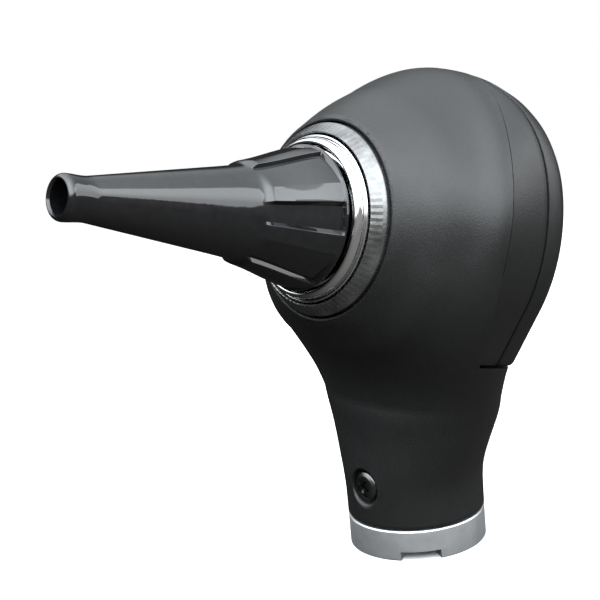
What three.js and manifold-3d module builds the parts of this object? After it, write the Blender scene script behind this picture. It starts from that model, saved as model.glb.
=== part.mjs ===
// Fibre-optic otoscope head with its speculum, without the battery handle. Millimetres, +Z up.
// The neck stands on +Z and the origin is the centre of the bayonet ring's bottom face.
// The optical axis leans back in the YZ plane: it points forward (-Y) and rises by TILT.
// "Optical frame": x to the right, y up across the axis, z forward along it.

import * as THREE from 'three';
import { mergeVertices } from 'three/addons/utils/BufferGeometryUtils.js';
import Module from 'manifold-3d';

const wasm = await Module();
wasm.setup();

// ---- Driving dimensions ----
const DEG = Math.PI / 180;
const GAP = 0.3; // between pieces that touch in the real object
const BIG = 120; // size of a cutting block

const TILT = 15 * DEG;
const AXIS_HEIGHT = 47; // where the optical axis crosses the neck's centre line

const DOME_RADIUS = 25.2; // half width of the egg-shaped head
const DOME_REACH = 17.8; // half length of the egg along the optical axis
const DOME_CENTRE = { up: 1, forward: -1 }; // from the axis point at AXIS_HEIGHT
const WALL = 2;

const NECK_RADIUS = 10;
const NECK_BOTTOM = 4.8;
const FLANK_SLOPE = 0.48; // how fast the half width grows up the tapered flanks
const CHIN = [18.5, 39]; // heights between which the neck's front turns into the dome

const LIP_FACE = 13.5; // front plane of the shell, along the axis
const LIP_RADIUS = 14.1;
const RUN_START = 8; // the dome runs straight from here to its lip
const CREASE = 2.2; // foremost line of the parting between the front shell and the rear housing
const PARTING = { radius: 42, up: -1 }; // the parting sweeps back in an arc above and below it
const HOUSING_BACK = -5.2;
const SEAM = -17.3; // lower edge of the housing and of the lens frame, across the axis
const HEAD_CENTRE = 1; // centre of the rear outline, across the axis
const CROWN = { ridge: -4.3, rise: 21.9, slope: 0.5, softness: 1.3 }; // blunt ridge over the head
const SHOULDER_GROWTH = 0.045; // share by which the band's upper corners bulge out at its back
const DOME_TAPER = { upper: 0.1, lower: 0.03 }; // shares by which the dome's middle is drawn in
const HOUSING_RADIUS = { front: 24.4, back: 24.1 };
const FLANK_ANGLE = Math.atan(FLANK_SLOPE);

const FRAME_RADIUS = 24; // lens frame, at its widest
const FRAME_BACK = -10;
const WINDOW_RADIUS = 13;
const SEAL = { inner: 13.6, outer: 15.2, depth: 0.7 };
const LENS = { radius: 14.2, rim: 1.4, crown: 1.4, middle: -7.7 };
const PIVOT = { x: -17.6, y: 6.5, radius: 1.5, head: 3, seat: -8.6 };

const BEZEL = { radius: 13.3, back: 10.8, shoulder: 14.3, rim: 11.85, rimFace: 15.7 };
const TWIST_RING = { outer: 11.4, inner: 9.9, face: 17.2 };
const MOUNT = { barrel: 9.6, flange: 12.4, base: 8.4, baseFace: 16.6, nose: 4, noseFace: 31, wall: 0.6 };
const ORING = { at: 21, wire: 0.32, depth: 0.9 };
const SPECULUM = { back: 17.5, rim: 10, tip: 56.4, tipRadius: 2.85, bore: 2.2 };
const FLANGE = 0.65;
const PANEL = { height: 0.6, steps: [13, 65], wall: 2.2, turn: 4.5 * DEG }; // step angles in degrees
const TUNNEL = { nose: 2.5, throat: 4.6, throatFace: 12, mouth: 9, wall: 0.5, back: -2.6 };
const FIBRE = { radius: 0.6, passage: 1.2, passageAt: -1.5, annulusBack: 14 };

const RING = { radius: 10, height: 4.5, bore: 7.4, sleeve: 8, top: 14 };
const NOTCH = { count: 3, width: 34 * DEG, depth: 1.35, middle: -41 * DEG };
const NECK_SCREW = { height: 10.5, head: 2.2, shank: 1.1, recess: 2.6, depth: 1.2 };
const LAMP = { body: 4.2, flange: 5.2, glass: 2.7, bottom: 5.6, top: 14, tip: 21 };
const SCREW = { head: 1.9, shank: 0.8, length: 6.6, bore: 2.9, boss: 2.4, orbit: 18, sink: 1.4 };
const SCREW_ANGLES = [45, 135, 202, -22].map((degrees) => degrees * DEG);
const NIPPLE = { x: -23.3, y: 5, z: -1.4, length: 6.5 };

// ---- Helpers: solids, booleans and frames ----
function solidOf(geometry) {
  const bare = geometry.clone();
  bare.deleteAttribute('normal');
  bare.deleteAttribute('uv');
  const merged = mergeVertices(bare, 1e-4);
  return new wasm.Manifold(new wasm.Mesh({
    numProp: 3,
    vertProperties: new Float32Array(merged.attributes.position.array),
    triVerts: new Uint32Array(merged.index.array),
  }));
}

function geometryOf(solid) {
  const mesh = solid.getMesh();
  const geometry = new THREE.BufferGeometry();
  geometry.setAttribute('position', new THREE.BufferAttribute(mesh.vertProperties, 3));
  geometry.setIndex(new THREE.BufferAttribute(mesh.triVerts, 1));
  geometry.computeVertexNormals();
  return geometry;
}

function cut(body, ...tools) {
  return geometryOf(tools.reduce((solid, tool) => solid.subtract(solidOf(tool)), solidOf(body)));
}

function join(body, ...others) {
  return geometryOf(others.reduce((solid, other) => solid.add(solidOf(other)), solidOf(body)));
}

function common(a, b) {
  return geometryOf(solidOf(a).intersect(solidOf(b)));
}

const opticalFrame = new THREE.Matrix4()
  .makeRotationX(Math.PI / 2 - TILT)
  .setPosition(0, 0, AXIS_HEIGHT);

function toHead(geometry) {
  return geometry.clone().applyMatrix4(opticalFrame);
}

// Turned piece about +Z from [radius, height] corners that run anticlockwise round the section.
function turned(corners, segments = 32) {
  const onAxis = corners[0][0] === 0;
  const closed = onAxis ? corners : [...corners, corners[0]];
  const points = closed.map(([radius, height]) => new THREE.Vector2(radius, height));
  return new THREE.LatheGeometry(points, segments).rotateX(Math.PI / 2);
}

function tube(outer, inner, bottom, top, segments = 32) {
  return turned([[inner, bottom], [outer, bottom], [outer, top], [inner, top]], segments);
}

function rod(radius, bottom, top, segments = 16) {
  return turned([[0, bottom], [radius, bottom], [radius, top], [0, top]], segments);
}

// Closed skin through rings of points. Each ring runs anticlockwise seen from the last ring.
function loft(rings) {
  const count = rings[0].length;
  const positions = rings.flat().flatMap((point) => point.toArray());
  const faces = [];
  const last = (rings.length - 1) * count;
  for (let start = 0; start < last; start += count) {
    for (let i = 0; i < count; i++) {
      const j = (i + 1) % count;
      faces.push(start + i, start + j, start + count + j);
      faces.push(start + i, start + count + j, start + count + i);
    }
  }
  for (let i = 1; i < count - 1; i++) {
    faces.push(0, i + 1, i);
    faces.push(last, last + i, last + i + 1);
  }
  const geometry = new THREE.BufferGeometry();
  geometry.setAttribute('position', new THREE.Float32BufferAttribute(positions, 3));
  geometry.setIndex(faces);
  geometry.computeVertexNormals();
  return geometry;
}

function smoothstep(low, high, value) {
  const t = THREE.MathUtils.clamp((value - low) / (high - low), 0, 1);
  return t * t * (3 - 2 * t);
}

function roundedMax(a, b, softness) {
  return (a + b + Math.hypot(a - b, softness)) / 2;
}

// ---- Head form: ellipses stacked up the neck and into a tilted egg ----
const cosTilt = Math.cos(TILT);
const sinTilt = Math.sin(TILT);
const EGG = {
  y: -DOME_CENTRE.forward * cosTilt + DOME_CENTRE.up * sinTilt,
  z: AXIS_HEIGHT + DOME_CENTRE.forward * sinTilt + DOME_CENTRE.up * cosTilt,
};

// Level section of the tilted egg: front and rear y and half width, at a height above its centre.
function eggSection(rise) {
  const along = 1 / DOME_REACH ** 2;
  const across = 1 / DOME_RADIUS ** 2;
  const yy = along * cosTilt ** 2 + across * sinTilt ** 2;
  const yz = sinTilt * cosTilt * (across - along);
  const zz = along * sinTilt ** 2 + across * cosTilt ** 2;
  const left = Math.max(0, 1 - (zz - yz ** 2 / yy) * rise ** 2);
  const middle = EGG.y - (yz * rise) / yy;
  const depth = Math.sqrt(left / yy);
  return { front: middle - depth, back: middle + depth, half: DOME_RADIUS * Math.sqrt(left) };
}

const EGG_TOP = Math.hypot(DOME_RADIUS * cosTilt, DOME_REACH * sinTilt);
const FLANK_REACH = Math.hypot(DOME_RADIUS, FLANK_SLOPE * EGG_TOP);

// Front and rear y and half width of the whole form at height z.
function headSection(z) {
  const rise = z - EGG.z;
  const egg = eggSection(rise);
  const blend = THREE.MathUtils.smootherstep(z, CHIN[0], CHIN[1]);
  const neckFront = -NECK_RADIUS + 0.8 * smoothstep(10, 20, z);
  const neckBack = NECK_RADIUS + 0.8 * smoothstep(12, 22, z);
  const flank = roundedMax(NECK_RADIUS, FLANK_REACH + FLANK_SLOPE * rise, 1) - 0.02;
  const tangentRise = (-FLANK_SLOPE * EGG_TOP ** 2) / FLANK_REACH;
  return {
    front: THREE.MathUtils.lerp(neckFront, egg.front, blend),
    back: THREE.MathUtils.lerp(neckBack, egg.back, blend),
    half: rise < tangentRise ? flank : egg.half,
  };
}

function headRing(z, inset, count) {
  const { front, back, half } = headSection(z);
  const middle = (front + back) / 2;
  const depth = (back - front) / 2 - inset;
  return Array.from({ length: count }, (_, i) => {
    const angle = (i / count) * 2 * Math.PI;
    return new THREE.Vector3((half - inset) * Math.cos(angle), middle + depth * Math.sin(angle), z);
  });
}

// Rise of the crown above the head's centre at a place along the optical axis: a blunt ridge.
function crownRise(z) {
  const { ridge, rise, slope, softness } = CROWN;
  return rise + softness - Math.hypot(softness, slope * (z - ridge));
}

// How far the curved parting line has run back, at share v of the height above the head's centre.
function creaseDrop(v) {
  const up = 22.5 * THREE.MathUtils.clamp(v, 0, 1);
  return PARTING.radius - Math.sqrt(PARTING.radius ** 2 - up ** 2);
}

// Outward growth of an upper corner of the band, from the crease to its back edge.
function shoulder(z, u, v) {
  const drop = creaseDrop(v);
  const share = THREE.MathUtils.clamp((CREASE - z - drop) / (CREASE - HOUSING_BACK - drop), 0, 1);
  return 1 + SHOULDER_GROWTH * share * (2 * u * v) ** 2;
}

function housingRadius(z) {
  const { back, front } = HOUSING_RADIUS;
  return THREE.MathUtils.mapLinear(z, HOUSING_BACK, CREASE, back, front);
}

function eggRadius(z) {
  return DOME_RADIUS * Math.sqrt(1 - ((z - DOME_CENTRE.forward) / DOME_REACH) ** 2);
}

// Radius of the dome: the egg, drawn in by a share, then a straight run to the lip.
function domeRadius(z, share) {
  const drawn = eggRadius(z) * (1 - share * smoothstep(0, RUN_START, z));
  const start = eggRadius(RUN_START) * (1 - share);
  const run = THREE.MathUtils.mapLinear(z, RUN_START, LIP_FACE, start, LIP_RADIUS);
  return THREE.MathUtils.lerp(drawn, run, smoothstep(RUN_START, 12, z));
}

// Half width of the dome's upper part: it falls away from the crease, not from a level plane.
function upperHalf(z, v) {
  const shifted = z + creaseDrop(v) * (1 - smoothstep(CREASE, LIP_FACE, z));
  const ahead = THREE.MathUtils.clamp(shifted, FRAME_BACK, LIP_FACE);
  const fall = smoothstep(CREASE - 1, CREASE + 3.5, ahead);
  const band = housingRadius(Math.min(z, CREASE));
  return THREE.MathUtils.lerp(band, domeRadius(ahead, DOME_TAPER.upper), fall);
}

// Draws the dome in from the crease and presses its upper half down to the crown's ridge line.
function shapeDome(geometry) {
  const dome = geometry.applyMatrix4(opticalFrame.clone().invert());
  const position = dome.attributes.position;
  const { lerp, clamp } = THREE.MathUtils;
  for (let i = 0; i < position.count; i++) {
    const z = clamp(position.getZ(i), FRAME_BACK, LIP_FACE);
    const u = position.getX(i) / eggRadius(z);
    const v = (position.getY(i) - HEAD_CENTRE) / eggRadius(z);
    const half = upperHalf(z, v);
    const centre = HEAD_CENTRE * (1 - smoothstep(6, LIP_FACE, z));
    if (v > 0) {
      const corner = shoulder(z, u, v);
      position.setX(i, u * half * corner);
      position.setY(i, centre + v * crownRise(z) * corner);
    } else {
      const share = lerp(DOME_TAPER.lower, DOME_TAPER.upper, smoothstep(-0.9, 0, v));
      const lower = domeRadius(z, share);
      position.setX(i, u * lerp(lower, half, smoothstep(-0.4, 0, v)));
      position.setY(i, centre + v * lower);
    }
  }
  return toHead(dome);
}

// Levels are even up the neck and crowd together towards the crown.
function headForm(bottom, inset, count, levels) {
  const waist = EGG.z;
  const crown = EGG.z + EGG_TOP - inset - 0.15;
  const lower = Array.from({ length: levels }, (_, i) => bottom + ((waist - bottom) * i) / levels);
  const upper = Array.from({ length: levels / 2 + 1 }, (_, i) => (
    waist + (crown - waist) * Math.sin((i / (levels / 2)) * (Math.PI / 2))
  ));
  return shapeDome(loft([...lower, ...upper].map((z) => headRing(z, inset, count))));
}

// Rear outline in the optical frame: the crown's arc runs into straight flanks and a level foot.
function rearOutline(radius, z, foot, inset = 0) {
  const arcSteps = 28;
  const start = -FLANK_ANGLE;
  const sweep = Math.PI + 2 * FLANK_ANGLE;
  const arc = Array.from({ length: arcSteps + 1 }, (_, i) => {
    const angle = start + (sweep * i) / arcSteps;
    const [u, v] = [Math.cos(angle), Math.sin(angle)];
    const corner = v > 0 ? shoulder(z, u, v) : 1;
    const rise = (v > 0 ? crownRise(z) : radius) - inset;
    return new THREE.Vector3(u * (radius - inset) * corner, HEAD_CENTRE + v * rise * corner, z);
  });
  const drop = arc[0].y - foot;
  const footHalf = arc[0].x - drop * Math.tan(FLANK_ANGLE);
  return [...arc, new THREE.Vector3(-footHalf, foot, z), new THREE.Vector3(footHalf, foot, z)];
}

function block(low, high) {
  const size = high.map((value, i) => value - low[i]);
  return new THREE.BoxGeometry(...size).translate(...low.map((value, i) => value + size[i] / 2));
}

// ---- Housing pieces ----
function screwPlace(angle) {
  return [SCREW.orbit * Math.cos(angle), HEAD_CENTRE + SCREW.orbit * Math.sin(angle), 0];
}

// Hole across the seam that lets the fibre bundle up into the head.
function fibrePassage() {
  return rod(FIBRE.passage, -24, -14).rotateX(-Math.PI / 2).translate(0, 0, FIBRE.passageAt);
}

// Round-fronted block behind the parting arc, drawn back by an offset and cut off at a foot.
function behindParting(offset, foot) {
  const { radius, up } = PARTING;
  const drum = new THREE.CylinderGeometry(radius - offset, radius - offset, BIG, 64);
  drum.rotateZ(Math.PI / 2).translate(0, up, CREASE - radius);
  return common(drum, block([-BIG, foot, -BIG], [BIG, BIG, BIG]));
}

function frontShell() {
  const behind = behindParting(0, SEAM - GAP);
  const ahead = block([-BIG, -BIG, LIP_FACE], [BIG, BIG, BIG]);
  const outer = cut(headForm(NECK_BOTTOM, 0, 44, 16), toHead(behind), toHead(ahead));
  const behindInner = behindParting(0.5, SEAM - GAP - WALL);
  const aheadInner = block([-BIG, -BIG, BEZEL.back - GAP - WALL], [BIG, BIG, BIG]);
  const inner = cut(headForm(18, WALL, 24, 10), toHead(behindInner), toHead(aheadInner));
  const bossLimit = headForm(NECK_BOTTOM, 0.8, 24, 10);
  const bosses = SCREW_ANGLES.map((angle) => (
    common(toHead(rod(SCREW.boss, -2.6, 9, 12).translate(...screwPlace(angle))), bossLimit)
  ));
  const screwHoles = SCREW_ANGLES.map((angle) => (
    toHead(rod(SCREW.shank + GAP, -4, SCREW.bore, 8).translate(...screwPlace(angle)))
  ));
  return cut(
    join(cut(outer, inner), ...bosses),
    rod(RING.sleeve + GAP, 0, 15, 32),
    rod(6.4, 14, 24, 24),
    toHead(rod(BEZEL.radius + GAP, BEZEL.back - GAP, BIG, 40)),
    toHead(rod(MOUNT.barrel + GAP, 0, BIG, 32)),
    toHead(fibrePassage()),
    radialScrewHole(NECK_SCREW.recess, NECK_RADIUS - NECK_SCREW.depth),
    radialScrewHole(NECK_SCREW.shank + GAP, 0),
    ...screwHoles,
  );
}

// Round cutter along -Y at the neck screw's height, from a distance out of the neck's axis.
function radialScrewHole(radius, from) {
  const hole = rod(radius, from, NECK_RADIUS + 5, 20).rotateX(Math.PI / 2);
  return hole.translate(0, 0, NECK_SCREW.height);
}

// Closed band between two planes, following the head's rear outline.
function housingBand(back, front, foot, inset) {
  const levels = 4;
  return loft(Array.from({ length: levels + 1 }, (_, i) => {
    const z = THREE.MathUtils.lerp(back, front, i / levels);
    return rearOutline(housingRadius(z), z, foot, inset);
  }));
}

function rearHousing() {
  const band = housingBand(HOUSING_BACK, CREASE, SEAM, 0);
  const body = common(band, behindParting(GAP, SEAM - 1));
  const cavity = housingBand(HOUSING_BACK + WALL, CREASE + 1, SEAM + WALL, WALL);
  const screwHoles = SCREW_ANGLES.flatMap((angle) => [
    rod(SCREW.shank + GAP, -8, 0, 12).translate(...screwPlace(angle)),
    rod(SCREW.head + GAP, -8, HOUSING_BACK + SCREW.sink, 16).translate(...screwPlace(angle)),
  ]);
  const pivotHole = rod(PIVOT.radius + GAP, -8, 0).translate(PIVOT.x, PIVOT.y, 0);
  const window = rod(WINDOW_RADIUS, -8, 0, 32);
  const sealGroove = tube(SEAL.outer, SEAL.inner, -8, HOUSING_BACK + SEAL.depth);
  const nippleHole = rod(1.5 + GAP, -8, 8).rotateY(Math.PI / 2);
  nippleHole.translate(NIPPLE.x, NIPPLE.y, NIPPLE.z);
  return cut(body, cavity, ...screwHoles, pivotHole, window, sealGroove, nippleHole, fibrePassage());
}

function windowSeal() {
  const { inner, outer, depth } = SEAL;
  return tube(outer - GAP, inner + GAP, HOUSING_BACK - 0.1, HOUSING_BACK + depth - GAP);
}

// Pan-head screw along +Z with the underside of its head at z = 0.
function pan(head, shank, length, sides = 16) {
  const low = head * 0.55;
  return turned([
    [0, -low], [head * 0.6, -low], [head, -low * 0.45], [head, 0], [shank, 0], [shank, length],
    [0, length],
  ], sides);
}

function crossSlot(size, depth) {
  const bar = block([-size, -size * 0.2, -BIG], [size, size * 0.2, depth]);
  return join(bar, bar.clone().rotateZ(Math.PI / 2));
}

function housingScrew() {
  const head = SCREW.head;
  const screw = pan(head, SCREW.shank, SCREW.length, 12);
  return cut(screw, crossSlot(head * 0.6, -head * 0.3));
}

// ---- Lens carrier ----
function lensFrame() {
  const sections = [
    [FRAME_RADIUS, HOUSING_BACK - GAP, 0],
    [FRAME_RADIUS, -7.4, 0],
    [FRAME_RADIUS - 0.6, -8.9, 0.3],
    [FRAME_RADIUS - 2, FRAME_BACK, 1.1],
  ];
  const rings = sections.map(([radius, z, lift]) => rearOutline(radius, z, SEAM + lift));
  const body = loft(rings.reverse());
  const step = LENS.middle - LENS.rim / 2 - GAP;
  return cut(
    body,
    rod(LENS.radius - 1.2, -BIG, 0, 40),
    rod(LENS.radius + GAP, step, 0, 40),
    rod(PIVOT.radius + GAP, -BIG, 0).translate(PIVOT.x, PIVOT.y, 0),
    rod(PIVOT.head + GAP, -BIG, PIVOT.seat + 0.8, 20).translate(PIVOT.x, PIVOT.y, 0),
  );
}

function magnifierLens() {
  const { radius, rim, crown, middle } = LENS;
  const clear = radius - 0.9;
  const steps = 5;
  const face = (side) => Array.from({ length: steps + 1 }, (_, i) => (
    [(clear * i) / steps, middle + side * (rim / 2 + crown * (1 - (i / steps) ** 2))]
  ));
  const edge = [[radius, middle - rim / 2], [radius, middle + rim / 2]];
  return turned([...face(-1), ...edge, ...face(1).reverse()]);
}

function lensRetainingRing() {
  const front = LENS.middle + LENS.rim / 2 + GAP;
  return tube(LENS.radius, LENS.radius - 1.3, front, HOUSING_BACK - 2 * GAP);
}

function pivotScrew() {
  const screw = pan(PIVOT.head - GAP, PIVOT.radius, 7.4);
  return cut(screw, crossSlot(1.5, -0.6)).translate(PIVOT.x, PIVOT.y, PIVOT.seat);
}

function pivotWasher() {
  const washer = tube(PIVOT.head, PIVOT.radius + GAP, PIVOT.seat + 0.2, PIVOT.seat + 0.6, 20);
  return washer.translate(PIVOT.x, PIVOT.y, 0);
}

function pivotNut() {
  const thickness = 1.9;
  const nut = new THREE.CylinderGeometry(2.9, 2.9, thickness, 6).rotateX(Math.PI / 2);
  const bored = cut(nut, rod(PIVOT.radius + GAP, -BIG, BIG));
  return bored.translate(PIVOT.x, PIVOT.y, HOUSING_BACK + WALL + GAP + thickness / 2);
}

// ---- Front end: bezel, twist ring, mount, speculum ----
function bezelRing() {
  const { radius, back, shoulder, rim, rimFace } = BEZEL;
  const bore = TWIST_RING.outer + GAP;
  return turned([
    [bore, back], [radius, back], [radius, shoulder - 0.35], [radius - 0.3, shoulder],
    [rim + 0.1, rimFace], [bore, rimFace - 0.2],
  ], 40);
}

function twistRing() {
  const { outer, inner, face } = TWIST_RING;
  const back = BEZEL.back;
  const groove = (outer + inner) / 2 + 0.35;
  return turned([
    [inner, back], [outer, back], [outer, face - 0.8], [outer - 0.25, face - 0.5],
    [groove + 0.1, face - 0.5], [groove, face - 0.8], [groove - 0.1, face - 0.3],
    [groove - 0.35, face], [inner + 0.2, face], [inner, face - 0.2],
  ], 40);
}

// Radius of the mount's cone, which the speculum fits over.
function coneRadius(z) {
  const { base, baseFace, nose, noseFace } = MOUNT;
  return THREE.MathUtils.mapLinear(z, baseFace, noseFace, base, nose);
}

function speculumMount() {
  const { barrel, flange, base, baseFace, nose, noseFace, wall } = MOUNT;
  const flangeFace = BEZEL.back - GAP - WALL - GAP;
  const flangeBack = flangeFace - 2.2;
  const grooveBack = ORING.at - 0.7;
  const grooveFront = ORING.at + 0.7;
  const grooveFloor = coneRadius(ORING.at) - ORING.depth;
  return turned([
    [barrel - 0.7, flangeBack], [flange, flangeBack], [flange, flangeFace], [barrel, flangeFace],
    [barrel, baseFace - 0.4], [base, baseFace], [coneRadius(grooveBack), grooveBack],
    [grooveFloor, grooveBack], [grooveFloor, grooveFront], [coneRadius(grooveFront), grooveFront],
    [nose, noseFace - 0.4], [nose - 0.3, noseFace], [nose - wall, noseFace],
    [grooveFloor - wall, grooveFront], [grooveFloor - wall, 17.4], [base - wall, 15.4],
    [barrel - 0.7, 14.6],
  ]);
}

function speculumSeal() {
  const radius = coneRadius(ORING.at) - ORING.wire + 0.1;
  return new THREE.TorusGeometry(radius, ORING.wire, 6, 28).translate(0, 0, ORING.at);
}

// Outer radius of the speculum: a slim cone with a waist behind its rounded tip and a flared skirt.
function speculumRadius(z) {
  const { tip, tipRadius, rim, back } = SPECULUM;
  const cone = (at) => tipRadius - 0.1 + Math.max(0, tip - 4 - at) * 0.14;
  const bead = 0.1 * smoothstep(tip - 3.2, tip - 0.6, z);
  const flare = (rim - FLANGE - cone(back)) * smoothstep(33, back, z) ** 1.3;
  return cone(z) + bead + flare;
}

// Corners of the skirt's section as [angle in degrees, height]: flat panels fall away from steps
// and the pattern is mirrored about two planes.
function skirtCorners() {
  const { height, steps, wall } = PANEL;
  const step = (angle) => [[angle - wall, 0], [angle, height]];
  const quarter = [...step(steps[0]), [29, 0.56], [46, 0.3], ...step(steps[1]), [78, 0.5]];
  const mirror = (corners, about) => corners.map(([angle, rise]) => [about - angle, rise]).reverse();
  const half = [...quarter, ...mirror(quarter, 180)];
  return [...half, ...mirror(half, 360)];
}

function speculum() {
  const { tip, back, bore } = SPECULUM;
  const corners = skirtCorners();
  const levels = [back, back + 0.5, back + 0.7, 20.5, 23, 26, 29.6, 31, 36, 44, 52.4, 54.2, 55.8, tip];
  const rings = levels.map((z) => corners.map(([degrees, height]) => {
    const angle = degrees * DEG + PANEL.turn;
    const onSkirt = z > back + 0.6 && z < 30;
    const flange = z < back + 0.6 ? FLANGE : 0;
    const trim = z === tip ? 0.35 : 0;
    const radius = speculumRadius(z) + (onSkirt ? height : flange) - trim;
    return new THREE.Vector3(radius * Math.cos(angle), radius * Math.sin(angle), z);
  }));
  const inside = turned([
    [0, back - 1], [9.1, back - 1], [8.9, back + 0.2], [MOUNT.base + 0.35, back + 0.6],
    [MOUNT.nose + 0.35, MOUNT.noseFace], [bore + 0.2, tip - 4], [bore, tip + 1], [0, tip + 1],
  ], 32);
  return cut(loft(rings), inside);
}

// ---- Optics and light path ----
function viewingTube() {
  const { nose, throat, throatFace, mouth, wall, back } = TUNNEL;
  const front = MOUNT.noseFace - GAP;
  return turned([
    [mouth - wall, back], [mouth, back], [throat, throatFace], [nose, front],
    [nose - wall, front], [throat - wall, throatFace],
  ]);
}

// Fibres spread from the bundle into a thin ring between the mount's cone and the viewing tube.
function fibreAnnulus() {
  const back = FIBRE.annulusBack;
  const front = MOUNT.noseFace - 0.2;
  return turned([
    [4.7, back], [7.3, back], [7.3, back + 1.2], [5.22, back + 3], [5.22, 21.5], [3.12, front],
    [2.82, front],
  ]);
}

function fibreBundle() {
  const stops = [
    [-21.8, -5.8], [-21.6, -3.8], [-20.6, -2.1], [-18.8, -1.5], [-16, -1.5], [-14, -0.7],
    [-11.6, 2], [-8.6, 5.4], [-7, 9.4], [-6.4, 13.4],
  ];
  const route = new THREE.CatmullRomCurve3(stops.map(([y, z]) => new THREE.Vector3(0, y, z)));
  const section = new THREE.Shape().absarc(0, 0, FIBRE.radius, 0, 2 * Math.PI, false);
  return new THREE.ExtrudeGeometry(section, { steps: 20, curveSegments: 8, extrudePath: route });
}

function fibreFerrule() {
  return turned([[0, 21.5], [6.1, 21.5], [6.1, 22.8], [2.4, 22.8], [1.4, 23.8], [0, 23.8]], 24);
}

// ---- Lamp ----
function lampSocket() {
  return tube(6, LAMP.body + GAP, LAMP.bottom + 1.1, 16.5, 24);
}

function lampBase() {
  const { body, flange, bottom, top } = LAMP;
  return turned([
    [0, bottom], [flange, bottom], [flange, bottom + 0.8], [body, bottom + 0.8],
    [body, top - 0.6], [body - 0.6, top], [0, top],
  ], 24);
}

function lampGlass() {
  const { glass, top, tip } = LAMP;
  const steps = 5;
  const dome = Array.from({ length: steps }, (_, i) => {
    const angle = (i / steps) * (Math.PI / 2);
    return [glass * Math.cos(angle), tip - glass + glass * Math.sin(angle)];
  });
  return turned([[0, top + GAP], [glass - 0.3, top + GAP], ...dome, [0, tip]], 20);
}

function lampInsulator() {
  return turned([[1.7, LAMP.bottom - 1.1], [3.6, LAMP.bottom - 1.1], [3.6, 5.3], [1.7, 5.3]], 20);
}

function lampContact() {
  return turned([[0, 3.6], [1, 3.6], [1.4, 4], [1.4, 5.3], [0, 5.3]], 16);
}

// ---- Neck fittings ----
function bayonetRing() {
  const { radius, height, bore, sleeve, top } = RING;
  const body = turned([
    [bore, 0], [radius - 0.15, 0], [radius, 0.15], [radius, height - 0.35],
    [radius - 0.35, height], [sleeve, height], [sleeve, top], [sleeve - 1, top],
    [sleeve - 1, height + 0.5], [bore, height - 0.5],
  ], 48);
  const pitch = (2 * Math.PI) / NOTCH.count;
  const notches = Array.from({ length: NOTCH.count }, (_, i) => sector(NOTCH.middle + i * pitch));
  const lugs = Array.from({ length: NOTCH.count }, (_, i) => lug(NOTCH.middle + (i + 0.5) * pitch));
  return cut(join(body, ...lugs), ...notches, radialScrewHole(NECK_SCREW.shank + GAP, 2));
}

// Wedge that opens a notch through the ring's lower edge.
function sector(middle) {
  const reach = 14;
  const shape = new THREE.Shape();
  shape.absarc(0, 0, reach, middle - NOTCH.width / 2, middle + NOTCH.width / 2, false);
  shape.lineTo(0, 0);
  const options = { depth: NOTCH.depth + 1, bevelEnabled: false, curveSegments: 6 };
  return new THREE.ExtrudeGeometry(shape, options).translate(0, 0, -1);
}

// Inward lug that the handle's bayonet turns behind.
function lug(middle) {
  const inner = RING.bore - 0.9;
  const half = 9 * DEG;
  const shape = new THREE.Shape();
  shape.absarc(0, 0, RING.bore + 0.4, middle - half, middle + half, false);
  shape.absarc(0, 0, inner, middle + half, middle - half, true);
  const options = { depth: 1.2, bevelEnabled: false, curveSegments: 5 };
  return new THREE.ExtrudeGeometry(shape, options).translate(0, 0, 1.9);
}

function neckScrew() {
  const { head, shank, depth, height } = NECK_SCREW;
  const face = -(NECK_RADIUS - depth);
  const screw = turned([
    [0, -0.75], [head * 0.7, -0.75], [head, -0.25], [head, 0], [shank, 0.25], [shank, 2.4],
    [0, 2.4],
  ], 20);
  const driven = cut(screw, crossSlot(1.25, -0.15));
  return driven.rotateX(-Math.PI / 2).translate(0, face - GAP, height);
}

function insufflationNipple() {
  const { x, y, z, length } = NIPPLE;
  const stem = turned([
    [0.8, -length], [1.5, -length], [1.9, -length + 1.4], [1.5, -length + 1.6], [1.5, -3.2],
    [2.6, -3.2], [2.6, -1.7], [1.5, -1.7], [1.5, 2], [0.8, 2],
  ], 20);
  return stem.rotateY(Math.PI / 2).translate(x, y, z);
}

// ---- Assembly ----
const finishes = {
  shell: { color: 0x2b2b2c, roughness: 0.55, metalness: 0 },
  rubber: { color: 0x151515, roughness: 0.85, metalness: 0 },
  chrome: { color: 0xd8d9da, roughness: 0.12, metalness: 1 },
  aluminium: { color: 0xa9abad, roughness: 0.4, metalness: 0.9 },
  steel: { color: 0x6f7173, roughness: 0.35, metalness: 1 },
  brass: { color: 0xb99a52, roughness: 0.35, metalness: 1 },
  blackGloss: { color: 0x101012, roughness: 0.12, metalness: 0 },
  blackMatt: { color: 0x0c0c0c, roughness: 0.9, metalness: 0 },
  glass: { color: 0xe8eef0, roughness: 0.03, metalness: 0 },
  fibre: { color: 0xe9e4cf, roughness: 0.3, metalness: 0 },
  ceramic: { color: 0xe6e2da, roughness: 0.5, metalness: 0 },
};

function piece(name, geometry, finish) {
  const mesh = new THREE.Mesh(geometry, new THREE.MeshStandardMaterial(finishes[finish]));
  mesh.name = name;
  return mesh;
}

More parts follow.
